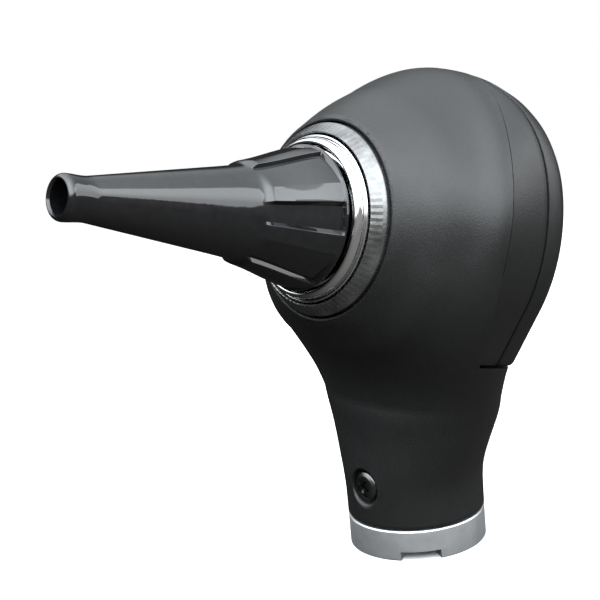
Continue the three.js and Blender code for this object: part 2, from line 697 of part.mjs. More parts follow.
const optical = new THREE.Group();
optical.position.z = AXIS_HEIGHT;
optical.rotation.x = Math.PI / 2 - TILT;
optical.add(
  piece('rear_housing', rearHousing(), 'shell'),
  piece('window_seal', windowSeal(), 'rubber'),
  piece('lens_frame', lensFrame(), 'shell'),
  piece('magnifier_lens', magnifierLens(), 'glass'),
  piece('lens_retaining_ring', lensRetainingRing(), 'blackMatt'),
  piece('pivot_screw', pivotScrew(), 'steel'),
  piece('pivot_washer', pivotWasher(), 'steel'),
  piece('pivot_nut', pivotNut(), 'brass'),
  piece('bezel_ring', bezelRing(), 'chrome'),
  piece('twist_ring', twistRing(), 'chrome'),
  piece('speculum_mount', speculumMount(), 'chrome'),
  piece('speculum_seal', speculumSeal(), 'rubber'),
  piece('speculum', speculum(), 'blackGloss'),
  piece('viewing_tube', viewingTube(), 'blackMatt'),
  piece('fibre_annulus', fibreAnnulus(), 'fibre'),
  piece('fibre_bundle', fibreBundle(), 'fibre'),
  piece('insufflation_nipple', insufflationNipple(), 'chrome'),
);
SCREW_ANGLES.forEach((angle, i) => {
  const screw = piece(`housing_screw_${i + 1}`, housingScrew(), 'steel');
  screw.position.set(...screwPlace(angle));
  screw.position.z = HOUSING_BACK + SCREW.sink - GAP;
  optical.add(screw);
});

const otoscope = new THREE.Group();
otoscope.add(
  piece('front_shell', frontShell(), 'shell'),
  optical,
  piece('bayonet_ring', bayonetRing(), 'aluminium'),
  piece('neck_screw', neckScrew(), 'steel'),
  piece('lamp_socket', lampSocket(), 'aluminium'),
  piece('lamp_base', lampBase(), 'brass'),
  piece('lamp_glass', lampGlass(), 'glass'),
  piece('lamp_insulator', lampInsulator(), 'ceramic'),
  piece('lamp_contact', lampContact(), 'brass'),
  piece('fibre_ferrule', fibreFerrule(), 'aluminium'),
);

export default otoscope;
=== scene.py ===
"""Looks of a fibre-optic otoscope head with its speculum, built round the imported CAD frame.

Shapes are worked out in millimetres and scaled to metres when a piece is finished. Two frames are
used: the row frame (+Z up the neck) and the optical frame (x right, y up across the optical axis,
z forward along it), which leans back by TILT.
"""

import math

import bmesh
import bpy
import numpy as np
from mathutils import Matrix, Vector


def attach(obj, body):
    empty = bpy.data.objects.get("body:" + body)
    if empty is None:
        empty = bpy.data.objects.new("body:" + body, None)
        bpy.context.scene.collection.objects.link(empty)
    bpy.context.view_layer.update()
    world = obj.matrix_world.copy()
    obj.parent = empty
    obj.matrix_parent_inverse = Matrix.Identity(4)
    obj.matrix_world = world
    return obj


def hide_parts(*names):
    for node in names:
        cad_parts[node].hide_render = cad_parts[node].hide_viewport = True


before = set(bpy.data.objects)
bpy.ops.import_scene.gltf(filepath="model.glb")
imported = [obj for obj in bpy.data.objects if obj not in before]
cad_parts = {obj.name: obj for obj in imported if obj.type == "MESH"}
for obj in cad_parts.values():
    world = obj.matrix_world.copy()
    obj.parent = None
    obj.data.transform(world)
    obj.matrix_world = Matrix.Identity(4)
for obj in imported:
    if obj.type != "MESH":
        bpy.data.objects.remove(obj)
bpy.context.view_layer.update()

# ---- Driving dimensions, in millimetres ----
MM = 0.001
TILT = math.radians(15)
AXIS_HEIGHT = 47.0
OPTICAL = Matrix.Translation((0, 0, AXIS_HEIGHT)) @ Matrix.Rotation(math.pi / 2 - TILT, 4, "X")
ROW = Matrix.Identity(4)

DOME_RADIUS = 25.2
DOME_REACH = 17.8
DOME_UP, DOME_FORWARD = 1.0, -1.0
WALL = 2.0
NECK_RADIUS = 10.0
NECK_BOTTOM = 4.8
FLANK_SLOPE = 0.48
FLANK_ANGLE = math.atan(FLANK_SLOPE)
CHIN_LOW, CHIN_HIGH = 18.5, 39.0

LIP_FACE, LIP_RADIUS = 13.5, 14.1
RUN_START = 8.0
CREASE = 2.2
PARTING_RADIUS, PARTING_UP = 42.0, -1.0
HOUSING_BACK = -5.2
SEAM = -17.3
SEAM_GAP = 0.3
HEAD_CENTRE = 1.0
CROWN_RIDGE, CROWN_RISE, CROWN_SLOPE, CROWN_SOFTNESS = -4.3, 21.9, 0.5, 1.3
SHOULDER_GROWTH = 0.045
TAPER_UPPER, TAPER_LOWER = 0.1, 0.03
HOUSING_FRONT_RADIUS, HOUSING_BACK_RADIUS = 24.4, 24.1
FRAME_RADIUS, FRAME_BACK = 24.0, -10.0
WINDOW_RADIUS = 13.0
PIVOT = (-17.6, 6.5)
PIVOT_SEAT = -8.6
SCREW_ORBIT = 18.0
SCREW_HEAD, SCREW_SHANK, SCREW_LENGTH = 1.9, 0.8, 6.6
SCREW_SINK = 1.4
SCREW_ANGLES = (45, 135, 202, -22)
NECK_SCREW_HEIGHT = 10.5
SPECULUM_BACK, SPECULUM_TIP = 17.5, 56.4
SKIRT_RIM, SKIRT_FRONT, FLANGE = 9.35, 33.0, 0.65
PANEL_FRONT, PANEL_RUN_OUT = 27.8, 1.1
PANEL_BULGE = 0.5
RIB_TURN = math.radians(4.5)
FLUTE_DEPTH = 0.035
NOTCH_MIDDLE, NOTCH_WIDTH = math.radians(-41), math.radians(34)
NOTCH_DEPTH = 1.35


# ---- Brightness of the sky, and of the low surroundings at the left and right ----
SKY = 6.6
LOW_GLOW = (0.03, 0.3)


# ---- Camera ----
CAMERA_TURNS = (51.32, 14.14, -5.25)
CAMERA_TARGET = Vector((0, 0, 40))
CAMERA_RIGHT, CAMERA_UP, CAMERA_BACK = -14.04, -3.8, 251.8
CAMERA_LENS = 105.7


def make_camera():
    """Camera at the photograph's viewing angle: azimuth, elevation and roll in degrees."""
    azimuth, elevation, roll = (math.radians(a) for a in CAMERA_TURNS)
    back = Vector((
        math.sin(azimuth) * math.cos(elevation),
        -math.cos(azimuth) * math.cos(elevation),
        math.sin(elevation),
    ))
    level = Vector((math.cos(azimuth), math.sin(azimuth), 0))
    upright = back.cross(level)
    right = math.cos(roll) * level + math.sin(roll) * upright
    up = -math.sin(roll) * level + math.cos(roll) * upright
    place = CAMERA_TARGET + CAMERA_RIGHT * right + CAMERA_UP * up + CAMERA_BACK * back
    data = bpy.data.cameras.new("camera")
    data.sensor_width = 36
    data.lens = CAMERA_LENS
    data.clip_start, data.clip_end = 0.01, 50
    camera = bpy.data.objects.new("camera", data)
    turn = Matrix((right, up, back)).transposed().to_4x4()
    camera.matrix_world = Matrix.Translation(place * MM) @ turn
    bpy.context.scene.collection.objects.link(camera)
    bpy.context.scene.camera = camera


# ---- Mesh helpers ----
def raw_object(name, points, faces, place=ROW):
    mesh = bpy.data.meshes.new(name)
    mesh.from_pydata([tuple(p) for p in points], [], faces)
    mesh.transform(place)
    mesh.update()
    thing = bpy.data.objects.new(name, mesh)
    bpy.context.scene.collection.objects.link(thing)
    return thing


def settle(thing):
    """Applies the modifiers of a raw object."""
    graph = bpy.context.evaluated_depsgraph_get()
    mesh = bpy.data.meshes.new_from_object(thing.evaluated_get(graph))
    thing.modifiers.clear()
    old, thing.data = thing.data, mesh
    bpy.data.meshes.remove(old)


def combine(thing, tools, operation="DIFFERENCE"):
    """Cuts the tools from a raw object, or joins or intersects them, and removes the tools."""
    for tool in tools:
        modifier = thing.modifiers.new("combine", "BOOLEAN")
        modifier.operation = operation
        modifier.solver = "MANIFOLD"
        modifier.object = tool
        settle(thing)
        bpy.data.objects.remove(tool)
    return thing


def soften(thing, width, angle=50):
    """Bevels the crisp edges of a raw object."""
    bevel = thing.modifiers.new("edges", "BEVEL")
    bevel.width = width
    bevel.segments = 2
    bevel.limit_method = "ANGLE"
    bevel.angle_limit = math.radians(angle)
    bevel.use_clamp_overlap = True
    settle(thing)


def finish_piece(thing, body, material, nodes, sharp=32):
    """Scales a raw object to metres, shades it and lets it ride in place of its CAD nodes."""
    thing.data.transform(Matrix.Scale(MM, 4))
    thing.data.shade_smooth()
    thing.data.set_sharp_from_angle(angle=math.radians(sharp))
    thing.data.materials.clear()
    thing.data.materials.append(material)
    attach(thing, body)
    if nodes:
        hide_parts(*nodes)
    return thing


def loft(name, rings, place=ROW):
    """Closed skin through rings, each anticlockwise seen from the last one."""
    count = len(rings[0])
    points = [p for ring in rings for p in ring]
    faces = []
    for start in range(0, (len(rings) - 1) * count, count):
        for i in range(count):
            j = (i + 1) % count
            faces.append((start + i, start + j, start + count + j, start + count + i))
    faces.append(tuple(range(count - 1, -1, -1)))
    last = (len(rings) - 1) * count
    faces.append(tuple(range(last, last + count)))
    return raw_object(name, points, faces, place)


def rounded(profile, radius=0.15, steps=3):
    """Rounds the corners of a closed profile, apart from those on the axis."""
    points = []
    count = len(profile)
    for i, (r, z) in enumerate(profile):
        here = np.array((r, z), float)
        before = np.array(profile[i - 1], float) - here
        after = np.array(profile[(i + 1) % count], float) - here
        reach = min(radius, 0.45 * np.linalg.norm(before), 0.45 * np.linalg.norm(after))
        if r < 1e-6:
            points.append((r, z))
            continue
        start = here + before / np.linalg.norm(before) * reach
        end = here + after / np.linalg.norm(after) * reach
        for k in range(steps + 1):
            t = k / steps
            point = (1 - t) ** 2 * start + 2 * t * (1 - t) * here + t * t * end
            points.append(tuple(point))
    return points


def revolved(name, profile, segments=96, place=OPTICAL, radius=0.15):
    """Turned piece from [radius, height] corners that run anticlockwise round the section."""
    outline = rounded(profile, radius) if radius else profile
    points, rows = [], []
    for r, z in outline:
        if r < 1e-6:
            rows.append([len(points)] * segments)
            points.append((0, 0, z))
            continue
        rows.append(list(range(len(points), len(points) + segments)))
        for k in range(segments):
            angle = 2 * math.pi * k / segments
            points.append((r * math.cos(angle), r * math.sin(angle), z))
    faces = []
    for a, b in zip(rows, rows[1:] + rows[:1]):
        if a[0] == a[-1] and b[0] == b[-1]:
            continue
        for k in range(segments):
            j = (k + 1) % segments
            corners = (a[k], a[j], b[j], b[k])
            faces.append(tuple(dict.fromkeys(corners)))
    return raw_object(name, points, faces, place)


def rod(radius, bottom, top, place=OPTICAL, segments=64):
    corners = [(0, bottom), (radius, bottom), (radius, top), (0, top)]
    return revolved("tool", corners, segments, place, 0)


def block(low, high, place=OPTICAL):
    points = [
        (x, y, z) for z in (low[2], high[2]) for y in (low[1], high[1]) for x in (low[0], high[0])
    ]
    faces = [(0, 2, 3, 1), (4, 5, 7, 6), (0, 1, 5, 4), (2, 6, 7, 3), (0, 4, 6, 2), (1, 3, 7, 5)]
    return raw_object("tool", points, faces, place)


def smoothstep(low, high, value):
    t = np.clip((value - low) / (high - low), 0, 1)
    return t * t * (3 - 2 * t)


def smootherstep(low, high, value):
    t = np.clip((value - low) / (high - low), 0, 1)
    return t**3 * (6 * t * t - 15 * t + 10)


def mix(a, b, t):
    return a + (b - a) * t


# ---- Head form ----
EGG_Y = -DOME_FORWARD * math.cos(TILT) + DOME_UP * math.sin(TILT)
EGG_Z = AXIS_HEIGHT + DOME_FORWARD * math.sin(TILT) + DOME_UP * math.cos(TILT)
EGG_TOP = math.hypot(DOME_RADIUS * math.cos(TILT), DOME_REACH * math.sin(TILT))
FLANK_REACH = math.hypot(DOME_RADIUS, FLANK_SLOPE * EGG_TOP)


def egg_section(rise):
    """Front and rear y and half width of the tilted egg's level section at a height."""
    along, across = DOME_REACH**-2, DOME_RADIUS**-2
    yy = along * math.cos(TILT) ** 2 + across * math.sin(TILT) ** 2
    yz = math.sin(TILT) * math.cos(TILT) * (across - along)
    zz = along * math.sin(TILT) ** 2 + across * math.cos(TILT) ** 2
    left = max(0.0, 1 - (zz - yz**2 / yy) * rise**2)
    middle = EGG_Y - yz * rise / yy
    depth = math.sqrt(left / yy)
    return middle - depth, middle + depth, DOME_RADIUS * math.sqrt(left)


def head_section(z):
    """Front and rear y and half width of the whole form at height z."""
    rise = z - EGG_Z
    egg_front, egg_back, egg_half = egg_section(rise)
    blend = smootherstep(CHIN_LOW, CHIN_HIGH, z)
    front = mix(-NECK_RADIUS + 0.8 * smoothstep(10, 20, z), egg_front, blend)
    back = mix(NECK_RADIUS + 0.8 * smoothstep(12, 22, z), egg_back, blend)
    straight = FLANK_REACH + FLANK_SLOPE * rise
    flank = (NECK_RADIUS + straight + math.hypot(NECK_RADIUS - straight, 1)) / 2 - 0.02
    tangent = -FLANK_SLOPE * EGG_TOP**2 / FLANK_REACH
    return front, back, flank if rise < tangent else egg_half


def crown_rise(z):
    return CROWN_RISE + CROWN_SOFTNESS - np.hypot(CROWN_SOFTNESS, CROWN_SLOPE * (z - CROWN_RIDGE))


def crease_drop(v):
    """How far the curved parting line has run back at a height above the head's centre."""
    up = 22.5 * np.clip(v, 0, 1)
    return PARTING_RADIUS - np.sqrt(PARTING_RADIUS**2 - up**2)


def shoulder(z, u, v):
    """Outward growth of an upper corner of the band, from the crease to its back edge."""
    drop = crease_drop(v)
    share = np.clip((CREASE - z - drop) / (CREASE - HOUSING_BACK - drop), 0, 1)
    return 1 + SHOULDER_GROWTH * share * (2 * u * v) ** 2


def housing_radius(z):
    share = (z - HOUSING_BACK) / (CREASE - HOUSING_BACK)
    return mix(HOUSING_BACK_RADIUS, HOUSING_FRONT_RADIUS, share)


def egg_radius(z):
    return DOME_RADIUS * np.sqrt(1 - ((z - DOME_FORWARD) / DOME_REACH) ** 2)


def dome_radius(z, share):
    """Radius of the dome: the egg, drawn in by a share, then a straight run to the lip."""
    drawn = egg_radius(z) * (1 - share * smoothstep(0, RUN_START, z))
    start = egg_radius(RUN_START) * (1 - share)
    run = mix(start, LIP_RADIUS, (z - RUN_START) / (LIP_FACE - RUN_START))
    return mix(drawn, run, smoothstep(RUN_START, 12, z))


def shape_dome(points):
    """Draws the dome in from the crease and presses its upper half down to the crown's ridge."""
    to_row = np.array(OPTICAL)
    local = (points - to_row[:3, 3]) @ to_row[:3, :3]
    z = np.clip(local[:, 2], FRAME_BACK, LIP_FACE)
    egg = egg_radius(z)
    u = local[:, 0] / egg
    v = (local[:, 1] - HEAD_CENTRE) / egg
    lower = dome_radius(z, mix(TAPER_LOWER, TAPER_UPPER, smoothstep(-0.9, 0, v)))
    ahead = z + crease_drop(v) * (1 - smoothstep(CREASE, LIP_FACE, z))
    ahead = np.clip(ahead, FRAME_BACK, LIP_FACE)
    fall = smoothstep(CREASE - 1, CREASE + 3.5, ahead)
    half = mix(housing_radius(np.minimum(z, CREASE)), dome_radius(ahead, TAPER_UPPER), fall)
    corner = shoulder(z, u, v)
    above = v > 0
    centre = HEAD_CENTRE * (1 - smoothstep(6, LIP_FACE, z))
    local[:, 0] = u * np.where(above, half * corner, mix(lower, half, smoothstep(-0.4, 0, v)))
    local[:, 1] = centre + v * np.where(above, crown_rise(z) * corner, lower)
    return local @ to_row[:3, :3].T + to_row[:3, 3]


def head_form(name, bottom, inset, count, levels):
    crown = EGG_Z + EGG_TOP - inset - 0.004
    lower = [bottom + (EGG_Z - bottom) * i / levels for i in range(levels)]
    upper = [
        EGG_Z + (crown - EGG_Z) * math.sin(i / (levels / 2) * math.pi / 2)
        for i in range(levels // 2 + 1)
    ]
    stops = [(z, inset) for z in lower + upper]
    if inset == 0:
        stops[0:1] = [(bottom, 0.22), (bottom + 0.06, 0.08), (bottom + 0.22, 0)]
    angles = np.linspace(0, 2 * math.pi, count, endpoint=False)
    rings = []
    for z, shrink in stops:
        front, back, half = head_section(z)
        depth = (back - front) / 2 - shrink
        x = (half - shrink) * np.cos(angles)
        y = (front + back) / 2 + depth * np.sin(angles)
        rings.append(np.stack([x, y, np.full(count, z)], axis=1))
    shaped = shape_dome(np.concatenate(rings))
    return loft(name, np.split(shaped, len(rings)))


def rear_outline(radius, z, foot, inset=0.0, steps=120):
    """Rear outline: the crown's arc runs into straight flanks and a level foot."""
    angles = np.linspace(-FLANK_ANGLE, math.pi + FLANK_ANGLE, steps + 1)
    u, v = np.cos(angles), np.sin(angles)
    corner = np.where(v > 0, shoulder(z, u, v), 1)
    rise = np.where(v > 0, crown_rise(z), radius) - inset
    x = u * (radius - inset) * corner
    y = HEAD_CENTRE + v * rise * corner
    drop = y[0] - foot
    foot_half = x[0] - drop * math.tan(FLANK_ANGLE)
    rounding = min(0.8, foot_half / 3)
    slope = math.tan(FLANK_ANGLE)
    left = [
        (-foot_half - rounding * slope, foot + rounding),
        (-foot_half - rounding * slope * 0.3, foot + rounding * 0.3),
        (-foot_half + rounding * 0.3, foot + rounding * 0.03),
        (-foot_half + rounding, foot),
    ]
    corners = left + [(-px, py) for px, py in reversed(left)]
    xs = np.concatenate([x, [p[0] for p in corners]])
    ys = np.concatenate([y, [p[1] for p in corners]])
    return np.stack([xs, ys, np.full(len(xs), z)], axis=1)


def behind_parting(offset, foot):
    radius = PARTING_RADIUS - offset
    turn = Matrix.Translation((0, PARTING_UP, CREASE - PARTING_RADIUS)) @ Matrix.Rotation(
        math.pi / 2, 4, "Y"
    )
    drum = rod(radius, -60, 60, OPTICAL @ turn, 256)
    return combine(drum, [block((-70, foot, -90), (70, 60, 60))], "INTERSECT")


def screw_place(angle):
    x = SCREW_ORBIT * math.cos(math.radians(angle))
    y = HEAD_CENTRE + SCREW_ORBIT * math.sin(math.radians(angle))
    return OPTICAL @ Matrix.Translation((x, y, 0))


def pivot_place(z=0.0):
    return OPTICAL @ Matrix.Translation((PIVOT[0], PIVOT[1], z))


FORWARD = Matrix.Translation((0, 0, NECK_SCREW_HEIGHT)) @ Matrix.Rotation(math.pi / 2, 4, "X")


# ---- Materials ----
def new_material(name, color, roughness, metallic=0.0, ior=1.5, **sockets):
    material = bpy.data.materials.new(name)
    material.use_nodes = True
    shader = material.node_tree.nodes["Principled BSDF"]
    shader.inputs["Base Color"].default_value = (*color, 1)
    shader.inputs["Roughness"].default_value = roughness
    shader.inputs["Metallic"].default_value = metallic
    shader.inputs["IOR"].default_value = ior
    for socket, value in sockets.items():
        shader.inputs[socket.replace("_", " ")].default_value = value
    return material


def noise(material, scale, detail=3.0, stretch=None):
    """Noise in the piece's own coordinates, in features per metre."""
    nodes, links = material.node_tree.nodes, material.node_tree.links
    place = nodes.new("ShaderNodeTexCoord")
    texture = nodes.new("ShaderNodeTexNoise")
    texture.inputs["Scale"].default_value = scale
    texture.inputs["Detail"].default_value = detail
    source = place.outputs["Object"]
    if stretch:
        mapping = nodes.new("ShaderNodeMapping")
        mapping.inputs["Rotation"].default_value = stretch[0]
        mapping.inputs["Scale"].default_value = stretch[1]
        links.new(source, mapping.inputs["Vector"])
        source = mapping.outputs["Vector"]
    links.new(source, texture.inputs["Vector"])
    return texture.outputs["Fac"]


def vary(material, socket, source, low, high):
    """Drives a socket of the shader between two values, or two colours, from a noise."""
    nodes, links = material.node_tree.nodes, material.node_tree.links
    target = nodes["Principled BSDF"].inputs[socket]
    if isinstance(low, tuple):
        ramp = nodes.new("ShaderNodeValToRGB")
        ramp.color_ramp.elements[0].position = 0.3
        ramp.color_ramp.elements[1].position = 0.7
        ramp.color_ramp.elements[0].color = (*low, 1)
        ramp.color_ramp.elements[1].color = (*high, 1)
        links.new(source, ramp.inputs["Fac"])
        links.new(ramp.outputs["Color"], target)
        return
    spread = nodes.new("ShaderNodeMapRange")
    spread.inputs["From Min"].default_value = 0.3
    spread.inputs["From Max"].default_value = 0.7
    spread.inputs["To Min"].default_value = low
    spread.inputs["To Max"].default_value = high
    links.new(source, spread.inputs["Value"])
    links.new(spread.outputs["Result"], target)


def relief(material, source, depth, strength=1.0):
    """Bump from a noise, with its depth in metres."""
    nodes, links = material.node_tree.nodes, material.node_tree.links
    bump = nodes.new("ShaderNodeBump")
    bump.inputs["Strength"].default_value = strength
    bump.inputs["Distance"].default_value = depth
    links.new(source, bump.inputs["Height"])
    links.new(bump.outputs["Normal"], nodes["Principled BSDF"].inputs["Normal"])


def shell_plastic():
    material = new_material("satin_shell", (0.009, 0.009, 0.009), 0.42, ior=1.5)
    fine = noise(material, 5200, 3)
    vary(material, "Base Color", fine, (0.006, 0.006, 0.006), (0.013, 0.013, 0.013))
    vary(material, "Roughness", noise(material, 300, 4), 0.39, 0.45)
    relief(material, fine, 0.00004)
    return material


def gloss_black():
    material = new_material("speculum_gloss", (0.006, 0.006, 0.007), 0.1, ior=1.66)
    mottle = noise(material, 900, 4)
    vary(material, "Base Color", mottle, (0.005, 0.005, 0.006), (0.009, 0.009, 0.01))
    vary(material, "Roughness", noise(material, 250, 5), 0.04, 0.1)
    along = ((math.pi / 2 - TILT, 0, 0), (1, 1, 0.08))
    relief(material, noise(material, 420, 2, along), 0.00003, 0.5)
    return material


def chrome():
    material = new_material("polished_chrome", (0.86, 0.86, 0.87), 0.07, metallic=1)
    vary(material, "Roughness", noise(material, 700, 4), 0.04, 0.11)
    relief(material, noise(material, 350, 3), 0.00002, 0.6)
    return material


def brushed_cone():
    """Satin metal, kept darker than bare metal so that it reads mid grey under the bright sky."""
    material = new_material("brushed_cone", (0.17, 0.17, 0.17), 0.28, metallic=0.85)
    around = ((math.pi / 2 - TILT, 0, 0), (1, 1, 9))
    vary(material, "Roughness", noise(material, 500, 4, around), 0.2, 0.34)
    vary(material, "Base Color", noise(material, 420, 5), (0.12, 0.12, 0.12), (0.25, 0.25, 0.25))
    relief(material, noise(material, 2600, 2, around), 0.000008)
    return material


def satin_aluminium():
    material = new_material("satin_ring", (0.66, 0.67, 0.69), 0.4, metallic=0.85)
    lines = noise(material, 700, 4, ((0, 0, 0), (0.3, 0.3, 14)))
    vary(material, "Roughness", lines, 0.34, 0.46)
    vary(material, "Base Color", noise(material, 500, 6), (0.61, 0.62, 0.64), (0.72, 0.73, 0.75))
    relief(material, lines, 0.000008)
    return material


def plain_metal(name, low, high, roughness):
    material = new_material(name, low, roughness, metallic=1)
    vary(material, "Base Color", noise(material, 900, 5), low, high)
    vary(material, "Roughness", noise(material, 1500, 3), roughness - 0.06, roughness + 0.08)
    relief(material, noise(material, 2500, 3), 0.000008)
    return material


def matt(name, low, high, roughness):
    material = new_material(name, low, roughness)
    grain = noise(material, 4000, 3)
    vary(material, "Base Color", grain, low, high)
    vary(material, "Roughness", noise(material, 800, 3), roughness - 0.06, roughness + 0.05)
    relief(material, grain, 0.00002)
    return material


def clear_glass(name, tint):
    material = new_material(name, tint, 0.02, ior=1.52, Transmission_Weight=1.0)
    vary(material, "Roughness", noise(material, 500, 3), 0.0, 0.03)
    return material


shell = shell_plastic()
gloss = gloss_black()
polished = chrome()
cone = brushed_cone()
aluminium = satin_aluminium()
steel = plain_metal("dark_steel", (0.12, 0.12, 0.125), (0.24, 0.24, 0.25), 0.34)
black_steel = plain_metal("black_steel", (0.09, 0.09, 0.092), (0.16, 0.16, 0.162), 0.26)
brass = plain_metal("turned_brass", (0.5, 0.36, 0.15), (0.66, 0.5, 0.24), 0.3)
rubber = matt("rubber_black", (0.012, 0.012, 0.012), (0.022, 0.022, 0.022), 0.8)
inner_black = matt("matt_black", (0.006, 0.006, 0.006), (0.014, 0.014, 0.014), 0.85)
fibre = matt("fibre_ends", (0.7, 0.68, 0.6), (0.9, 0.88, 0.8), 0.3)
ceramic = matt("ceramic_white", (0.72, 0.7, 0.64), (0.82, 0.8, 0.74), 0.45)
lens_glass = clear_glass("lens_glass", (0.95, 0.98, 0.98))
bulb_glass = clear_glass("bulb_glass", (0.98, 0.98, 0.97))


# ---- Head shells ----
def screw_recess():
    """Round pocket for the neck screw, with a softly rounded mouth."""
    face = NECK_RADIUS - 1.2
    corners = [
        (0, face), (2.6, face), (2.6, 9.35), (2.68, 9.62), (2.9, 9.84), (3.3, 10.0),
        (3.3, 14), (0, 14),
    ]
    return revolved("tool", corners, 64, FORWARD, 0)


def fibre_passage():
    turn = Matrix.Translation((0, 0, -1.5)) @ Matrix.Rotation(-math.pi / 2, 4, "X")
    return rod(1.2, -24, -14, OPTICAL @ turn, 32)


def make_front_shell():
    thing = head_form("front_shell_skin", NECK_BOTTOM, 0, 192, 72)
    cavity = head_form("tool", 18, WALL, 64, 20)
    combine(cavity, [
        behind_parting(0.5, SEAM - SEAM_GAP - WALL),
        block((-60, -60, 8.5), (60, 60, 60)),
    ])
    combine(thing, [
        behind_parting(0, SEAM - SEAM_GAP),
        block((-60, -60, LIP_FACE), (60, 60, 60)),
        cavity,
        rod(13.6, 10.5, 40, segments=128),
        rod(9.9, 0, 40, segments=96),
        rod(8.3, -1, 15, ROW),
        rod(6.4, 14, 24, ROW),
        fibre_passage(),
        screw_recess(),
        rod(1.4, 0, 12, FORWARD, 32),
    ])
    soften(thing, 0.12)
    return finish_piece(thing, "head", shell, ["front_shell"])


def make_shell_lip():
    """Raised rounded lip round the bezel."""
    corners = [(13.6, 12.6), (14.2, 12.6), (14.05, 13.6), (13.6, 13.6)]
    thing = revolved("shell_lip", corners, 160, radius=0.2)
    return finish_piece(thing, "head", shell, [])


def housing_band(name, back, front, foot, inset, edge=0.0):
    stops = list(np.linspace(back, front, 9))
    rings = [rear_outline(housing_radius(z), z, foot, inset) for z in stops]
    if edge:
        rings[0:1] = [
            rear_outline(housing_radius(back), back, foot + edge, edge),
            rear_outline(housing_radius(back), back + edge * 0.3, foot + edge * 0.3, edge * 0.3),
            rear_outline(housing_radius(back), back + edge, foot, 0),
        ]
    return loft(name, rings, OPTICAL)


def make_rear_housing():
    thing = housing_band("rear_housing_skin", HOUSING_BACK, CREASE + 0.6, SEAM, 0, 0.35)
    combine(thing, [behind_parting(0.1, SEAM - 3)], "INTERSECT")
    cutters = [
        housing_band("tool", HOUSING_BACK + WALL, CREASE + 3, SEAM + WALL, WALL),
        rod(WINDOW_RADIUS, -8, 0, segments=96),
        revolved(
            "tool", [(13.6, -8), (15.2, -8), (15.2, -4.5), (13.6, -4.5)], 96, OPTICAL, 0
        ),
        rod(1.8, -8, 0, pivot_place(), 32),
        fibre_passage(),
    ]
    for angle in SCREW_ANGLES:
        cutters.append(rod(1.1, -8, 0, screw_place(angle), 24))
        cutters.append(rod(2.2, -8, HOUSING_BACK + SCREW_SINK, screw_place(angle), 40))
    combine(thing, cutters)
    return finish_piece(thing, "head", shell, ["rear_housing"])


# ---- Lens carrier ----
def make_lens_frame():
    edge = 0.3
    sections = [
        (FRAME_RADIUS, FRAME_BACK, 2.2, 1.3), (FRAME_RADIUS, FRAME_BACK + 0.1, 1.75, 1.0),
        (FRAME_RADIUS, FRAME_BACK + 0.4, 1.2, 0.65), (FRAME_RADIUS, -9.0, 0.55, 0.3),
        (FRAME_RADIUS, -8.3, 0.15, 0.1), (FRAME_RADIUS, -7.6, 0, 0),
        (FRAME_RADIUS, HOUSING_BACK - 0.3 - edge, 0, 0),
        (FRAME_RADIUS, HOUSING_BACK - 0.3 - edge * 0.3, edge * 0.3, edge * 0.3),
        (FRAME_RADIUS, HOUSING_BACK - 0.3, edge, edge),
    ]
    rings = [rear_outline(r, z, SEAM + lift, inset) for r, z, inset, lift in sections]
    thing = loft("lens_frame_skin", rings, OPTICAL)
    mouth = [
        (0, -12), (15.2, -12), (14.2, -10.0), (13.4, -9.75), (13.0, -9.3), (13.0, 0), (0, 0),
    ]
    combine(thing, [
        revolved("tool", mouth, 128, OPTICAL, 0),
        rod(14.5, -8.7, 0, segments=128),
        rod(1.8, -12, 0, pivot_place(), 32),
        rod(3.3, -12, PIVOT_SEAT + 0.8, pivot_place(), 48),
    ])
    return finish_piece(thing, "lens_carrier", shell, ["lens_frame"])


def make_lens():
    radius, rim, crown, middle, clear = 14.2, 1.4, 1.4, -7.7, 13.3
    steps = 14
    back = [
        (clear * i / steps, middle - rim / 2 - crown * (1 - (i / steps) ** 2))
        for i in range(steps + 1)
    ]
    front = [(r, 2 * middle - z) for r, z in reversed(back)]
    edge = [(radius, middle - rim / 2), (radius, middle + rim / 2)]
    thing = revolved("lens", back + edge + front, 96, OPTICAL, 0)
    return finish_piece(thing, "lens_carrier", lens_glass, ["magnifier_lens"])


def cross_slot(size, depth, place):
    """A Phillips recess: two tapered crossing bars."""
    bars = []
    for turn in (0, math.pi / 2):
        at = place @ Matrix.Rotation(turn, 4, "Z")
        points = []
        for z, reach, half in ((-size, size, size * 0.2), (depth, size * 0.45, size * 0.12)):
            points += [(-reach, -half, z), (reach, -half, z), (reach, half, z), (-reach, half, z)]
        faces = [(0, 3, 2, 1), (4, 5, 6, 7)]
        faces += [(k, (k + 1) % 4, (k + 1) % 4 + 4, k + 4) for k in range(4)]
        bars.append(raw_object("tool", points, faces, at))
    return bars


def pan_screw(name, head, shank, length, place):
    low = head * 0.55
    corners = [
        (0, -low), (head * 0.6, -low), (head * 0.9, -low * 0.72), (head, -low * 0.3), (head, 0),
        (shank, 0), (shank, length), (0, length),
    ]
    thing = revolved(name, corners, 64, place, 0.12)
    return combine(thing, cross_slot(head * 0.62, -head * 0.12, place))


def make_pivot():
    place = pivot_place(PIVOT_SEAT)
    screw = pan_screw("pivot_screw_head", 2.7, 1.5, 7.4, place)
    finish_piece(screw, "head", steel, ["pivot_screw"])
    corners = [(1.8, 0.2), (3, 0.2), (3, 0.6), (1.8, 0.6)]
    washer = revolved("pivot_washer_ring", corners, 48, place, 0.08)
    finish_piece(washer, "head", steel, ["pivot_washer"])


def make_housing_screws():
    seat = Matrix.Translation((0, 0, HOUSING_BACK + 1.1))
    for number, angle in enumerate(SCREW_ANGLES, 1):
        name = f"housing_screw_head_{number}"
        place = screw_place(angle) @ seat
        screw = pan_screw(name, SCREW_HEAD, SCREW_SHANK, SCREW_LENGTH, place)
        finish_piece(screw, "head", steel, [f"housing_screw_{number}"])


